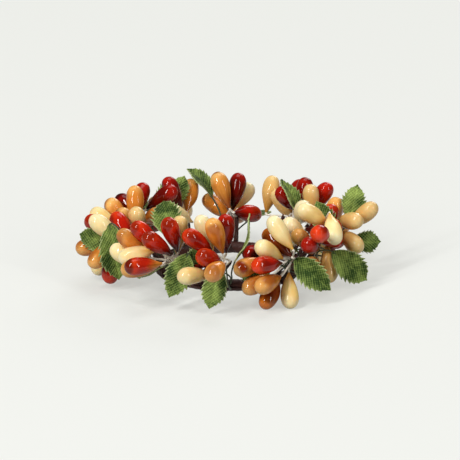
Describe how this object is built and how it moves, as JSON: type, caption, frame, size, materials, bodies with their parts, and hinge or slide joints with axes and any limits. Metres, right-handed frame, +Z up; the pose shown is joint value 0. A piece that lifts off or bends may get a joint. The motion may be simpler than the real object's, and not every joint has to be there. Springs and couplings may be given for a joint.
{
  "type": "berry and leaf candle ring",
  "caption": "Small ring of glossy artificial berries and cloth leaves wired to a taped hoop; it slips over a taper and lies on the holder.",
  "frame": {"origin": "centre of the bounding box at the level that the lowest berries rest on", "axes": "+Z up, -Y towards the front of the ring, +X to the right as seen from the front"},
  "size_m": [0.0772, 0.0744, 0.0239],
  "materials": {
    "hoop_wire": "drawn florist wire",
    "floral_tape": "dark waxed crepe paper",
    "red_lacquer": "clear gloss lacquer over foam",
    "amber_lacquer": "clear gloss lacquer over foam",
    "cream_lacquer": "clear gloss lacquer over foam",
    "leaf_cloth": "plain woven cloth, stiffened"
  },
  "bodies": {
    "root": {"hoop_wire": "hoop_wire", "tape_wrap": "floral_tape", "spray_a_red_pips": "red_lacquer", "spray_a_amber_pips": "amber_lacquer", "spray_a_cream_pips": "cream_lacquer", "spray_b_red_pips": "red_lacquer", "spray_b_amber_pips": "amber_lacquer", "spray_b_cream_pips": "cream_lacquer", "spray_c_red_pips": "red_lacquer", "spray_c_cream_pips": "cream_lacquer", "spray_c_amber_pips": "amber_lacquer", "spray_d_red_pips": "red_lacquer", "spray_d_amber_pips": "amber_lacquer", "spray_d_cream_pips": "cream_lacquer", "spray_e_red_pips": "red_lacquer", "spray_e_amber_pips": "amber_lacquer", "spray_e_cream_pips": "cream_lacquer", "spray_f_red_pips": "red_lacquer", "spray_f_amber_pips": "amber_lacquer", "spray_f_cream_pips": "cream_lacquer", "spray_g_red_pips": "red_lacquer", "spray_g_amber_pips": "amber_lacquer", "spray_g_cream_pips": "cream_lacquer", "spray_h_red_pips": "red_lacquer", "spray_h_amber_pips": "amber_lacquer", "spray_h_cream_pips": "cream_lacquer", "spray_i_red_pips": "red_lacquer", "spray_i_amber_pips": "amber_lacquer", "spray_i_cream_pips": "cream_lacquer", "spray_j_red_pips": "red_lacquer", "spray_j_amber_pips": "amber_lacquer", "spray_j_cream_pips": "cream_lacquer", "spray_a_leaf_1": "leaf_cloth", "spray_a_leaf_2": "leaf_cloth", "spray_a_leaf_3": "leaf_cloth", "spray_b_leaf_1": "leaf_cloth", "spray_b_leaf_2": "leaf_cloth", "spray_b_leaf_3": "leaf_cloth", "spray_c_leaf_1": "leaf_cloth", "spray_c_leaf_2": "leaf_cloth", "spray_c_leaf_3": "leaf_cloth", "spray_d_leaf_1": "leaf_cloth", "spray_d_leaf_2": "leaf_cloth", "spray_e_leaf_1": "leaf_cloth", "spray_e_leaf_2": "leaf_cloth", "spray_f_leaf_1": "leaf_cloth", "spray_f_leaf_2": "leaf_cloth", "spray_g_leaf_1": "leaf_cloth", "spray_g_leaf_2": "leaf_cloth", "spray_h_leaf_1": "leaf_cloth", "spray_h_leaf_2": "leaf_cloth", "spray_i_leaf_1": "leaf_cloth", "spray_i_leaf_2": "leaf_cloth", "spray_j_leaf_1": "leaf_cloth", "spray_j_leaf_2": "leaf_cloth"}
  },
  "joints": []
}
